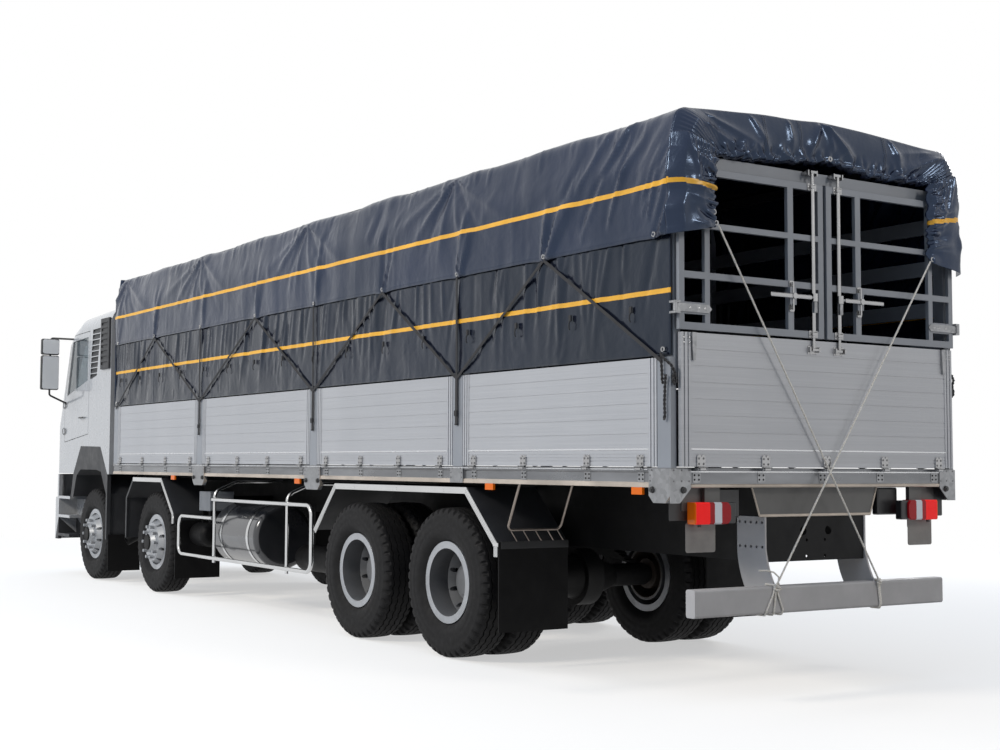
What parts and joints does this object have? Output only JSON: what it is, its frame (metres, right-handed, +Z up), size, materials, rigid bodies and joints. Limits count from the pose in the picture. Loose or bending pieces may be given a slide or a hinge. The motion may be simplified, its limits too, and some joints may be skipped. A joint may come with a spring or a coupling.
{
  "type": "tarpaulin-covered dropside cargo truck",
  "caption": "Rigid cargo truck with two steered front axles, tandem driven rear axles, dropside gates and a tarpaulin body.",
  "frame": {"origin": "on the ground under the middle of the whole truck", "axes": "+X forward, +Y to the truck's left, +Z up"},
  "size_m": [12.1056, 3.14, 3.59],
  "materials": {
    "tyre": "matte black rubber",
    "wheel_silver": "silver paint, satin",
    "chassis_black": "black chassis paint, satin",
    "axle_grey": "dark painted casting",
    "galvanised": "galvanised sheet",
    "aluminium_board": "brushed aluminium extrusion",
    "tarpaulin": "dark blue coated fabric, glossy",
    "cab_white": "white gloss paint",
    "glass": "tinted glass",
    "trim_grey": "dark grey moulded plastic",
    "stainless": "polished stainless tube",
    "rubber": "matte black rubber sheet",
    "interior": "grey cab trim",
    "lamp": "lamp lenses",
    "black_plastic": "black moulded plastic"
  },
  "bodies": {
    "root": {"front_axle_beams": "axle_grey", "driven_axles": "axle_grey", "leaf_springs": "chassis_black", "chassis_frame": "chassis_black", "engine_and_gearbox": "axle_grey", "drive_shafts": "chassis_black", "bed_deck": "galvanised", "bed_bearers": "galvanised", "tarp_frame": "aluminium_board", "headboard": "aluminium_board", "tarp_cover": "tarpaulin", "cab_shell": "cab_white", "windscreen": "glass", "cab_interior": "interior", "bumper_front": "trim_grey", "air_intake": "black_plastic", "fenders": "black_plastic", "mud_flaps": "rubber", "under_guards": "stainless", "fuel_tank": "galvanised", "chassis_boxes": "chassis_black", "exhaust": "chassis_black", "lamps": "lamp"},
    "knuckle_1_left": {"knuckle_1_left": "axle_grey"},
    "wheel_1_left": {"wheel_1_left": "wheel_silver", "tyre_1_left": "tyre"},
    "knuckle_1_right": {"knuckle_1_right": "axle_grey"},
    "wheel_1_right": {"wheel_1_right": "wheel_silver", "tyre_1_right": "tyre"},
    "track_rod_1": {"track_rod_1": "chassis_black"},
    "knuckle_2_left": {"knuckle_2_left": "axle_grey"},
    "wheel_2_left": {"wheel_2_left": "wheel_silver", "tyre_2_left": "tyre"},
    "knuckle_2_right": {"knuckle_2_right": "axle_grey"},
    "wheel_2_right": {"wheel_2_right": "wheel_silver", "tyre_2_right": "tyre"},
    "track_rod_2": {"track_rod_2": "chassis_black"},
    "wheels_3_left": {"wheels_3_left": "wheel_silver", "tyres_3_left": "tyre"},
    "wheels_3_right": {"wheels_3_right": "wheel_silver", "tyres_3_right": "tyre"},
    "wheels_4_left": {"wheels_4_left": "wheel_silver", "tyres_4_left": "tyre"},
    "wheels_4_right": {"wheels_4_right": "wheel_silver", "tyres_4_right": "tyre"},
    "side_gate_1_left": {"side_gate_1_left": "aluminium_board"},
    "side_gate_1_right": {"side_gate_1_right": "aluminium_board"},
    "side_gate_2_left": {"side_gate_2_left": "aluminium_board"},
    "side_gate_2_right": {"side_gate_2_right": "aluminium_board"},
    "side_gate_3_left": {"side_gate_3_left": "aluminium_board"},
    "side_gate_3_right": {"side_gate_3_right": "aluminium_board"},
    "side_gate_4_left": {"side_gate_4_left": "aluminium_board"},
    "side_gate_4_right": {"side_gate_4_right": "aluminium_board"},
    "tailgate": {"tailgate": "aluminium_board"},
    "rear_door_left": {"rear_door_left": "aluminium_board"},
    "cab_door_left": {"cab_door_left": "cab_white", "door_glass_left": "glass"},
    "rear_door_right": {"rear_door_right": "aluminium_board"},
    "cab_door_right": {"cab_door_right": "cab_white", "door_glass_right": "glass"}
  },
  "joints": [
    {"name": "steer_1_left", "type": "hinge", "parent": "root", "child": "knuckle_1_left", "pos_m": [4.64375, 0.835, 0.5425], "axis": [0, 0, 1], "range_deg": [-34, 34]},
    {"name": "roll_1_left", "type": "hinge", "parent": "knuckle_1_left", "child": "wheel_1_left", "pos_m": [4.64375, 1.025, 0.5425], "axis": [0, 1, 0], "continuous": true},
    {"name": "steer_1_right", "type": "hinge", "parent": "root", "child": "knuckle_1_right", "pos_m": [4.64375, -0.835, 0.5425], "axis": [0, 0, 1], "range_deg": [-34, 34]},
    {"name": "roll_1_right", "type": "hinge", "parent": "knuckle_1_right", "child": "wheel_1_right", "pos_m": [4.64375, -1.025, 0.5425], "axis": [0, 1, 0], "continuous": true},
    {"name": "track_rod_1_pin", "type": "hinge", "parent": "knuckle_1_left", "child": "track_rod_1", "pos_m": [4.45275, 0.835, 0.4125], "axis": [0, 0, 1], "range_deg": [-34, 34]},
    {"name": "steer_2_left", "type": "hinge", "parent": "root", "child": "knuckle_2_left", "pos_m": [2.58875, 0.835, 0.5425], "axis": [0, 0, 1], "range_deg": [-25.16, 25.16]},
    {"name": "roll_2_left", "type": "hinge", "parent": "knuckle_2_left", "child": "wheel_2_left", "pos_m": [2.58875, 1.025, 0.5425], "axis": [0, 1, 0], "continuous": true},
    {"name": "steer_2_right", "type": "hinge", "parent": "root", "child": "knuckle_2_right", "pos_m": [2.58875, -0.835, 0.5425], "axis": [0, 0, 1], "range_deg": [-25.16, 25.16]},
    {"name": "roll_2_right", "type": "hinge", "parent": "knuckle_2_right", "child": "wheel_2_right", "pos_m": [2.58875, -1.025, 0.5425], "axis": [0, 1, 0], "continuous": true},
    {"name": "track_rod_2_pin", "type": "hinge", "parent": "knuckle_2_left", "child": "track_rod_2", "pos_m": [2.39775, 0.835, 0.4125], "axis": [0, 0, 1], "range_deg": [-25.16, 25.16]},
    {"name": "roll_3_left", "type": "hinge", "parent": "root", "child": "wheels_3_left", "pos_m": [-2.10625, 0.9285, 0.5425], "axis": [0, 1, 0], "continuous": true},
    {"name": "roll_3_right", "type": "hinge", "parent": "root", "child": "wheels_3_right", "pos_m": [-2.10625, -0.9285, 0.5425], "axis": [0, 1, 0], "continuous": true},
    {"name": "roll_4_left", "type": "hinge", "parent": "root", "child": "wheels_4_left", "pos_m": [-3.47625, 0.9285, 0.5425], "axis": [0, 1, 0], "continuous": true},
    {"name": "roll_4_right", "type": "hinge", "parent": "root", "child": "wheels_4_right", "pos_m": [-3.47625, -0.9285, 0.5425], "axis": [0, 1, 0], "continuous": true},
    {"name": "gate_1_left_drop", "type": "hinge", "parent": "root", "child": "side_gate_1_left", "pos_m": [2.80075, 1.254, 1.378], "axis": [-1, 0, 0], "range_deg": [0, 170]},
    {"name": "gate_1_right_drop", "type": "hinge", "parent": "root", "child": "side_gate_1_right", "pos_m": [2.80075, -1.254, 1.378], "axis": [1, 0, 0], "range_deg": [0, 170]},
    {"name": "gate_2_left_drop", "type": "hinge", "parent": "root", "child": "side_gate_2_left", "pos_m": [0.23075, 1.254, 1.378], "axis": [-1, 0, 0], "range_deg": [0, 170]},
    {"name": "gate_2_right_drop", "type": "hinge", "parent": "root", "child": "side_gate_2_right", "pos_m": [0.23075, -1.254, 1.378], "axis": [1, 0, 0], "range_deg": [0, 170]},
    {"name": "gate_3_left_drop", "type": "hinge", "parent": "root", "child": "side_gate_3_left", "pos_m": [-2.20725, 1.254, 1.378], "axis": [-1, 0, 0], "range_deg": [0, 170]},
    {"name": "gate_3_right_drop", "type": "hinge", "parent": "root", "child": "side_gate_3_right", "pos_m": [-2.20725, -1.254, 1.378], "axis": [1, 0, 0], "range_deg": [0, 170]},
    {"name": "gate_4_left_drop", "type": "hinge", "parent": "root", "child": "side_gate_4_left", "pos_m": [-4.48625, 1.254, 1.378], "axis": [-1, 0, 0], "range_deg": [0, 170]},
    {"name": "gate_4_right_drop", "type": "hinge", "parent": "root", "child": "side_gate_4_right", "pos_m": [-4.48625, -1.254, 1.378], "axis": [1, 0, 0], "range_deg": [0, 170]},
    {"name": "tailgate_drop", "type": "hinge", "parent": "root", "child": "tailgate", "pos_m": [-6.03425, 0, 1.378], "axis": [0, -1, 0], "range_deg": [0, 175]},
    {"name": "rear_door_left_swing", "type": "hinge", "parent": "root", "child": "rear_door_left", "pos_m": [-6.03225, 1.246, 2.685], "axis": [0, 0, -1], "range_deg": [0, 250]},
    {"name": "cab_door_left_swing", "type": "hinge", "parent": "root", "child": "cab_door_left", "pos_m": [5.63575, 1.254, 1.955], "axis": [0, 0, -1], "range_deg": [0, 68]},
    {"name": "rear_door_right_swing", "type": "hinge", "parent": "root", "child": "rear_door_right", "pos_m": [-6.03225, -1.246, 2.685], "axis": [0, 0, 1], "range_deg": [0, 250]},
    {"name": "cab_door_right_swing", "type": "hinge", "parent": "root", "child": "cab_door_right", "pos_m": [5.63575, -1.254, 1.955], "axis": [0, 0, 1], "range_deg": [0, 68]}
  ],
  "couplings": [
    {"joint": "steer_1_right", "follows": "steer_1_left", "ratio": 1},
    {"joint": "track_rod_1_pin", "follows": "steer_1_left", "ratio": -1},
    {"joint": "steer_2_left", "follows": "steer_1_left", "ratio": 0.74},
    {"joint": "steer_2_right", "follows": "steer_1_left", "ratio": 0.74},
    {"joint": "track_rod_2_pin", "follows": "steer_1_left", "ratio": -0.74}
  ]
}
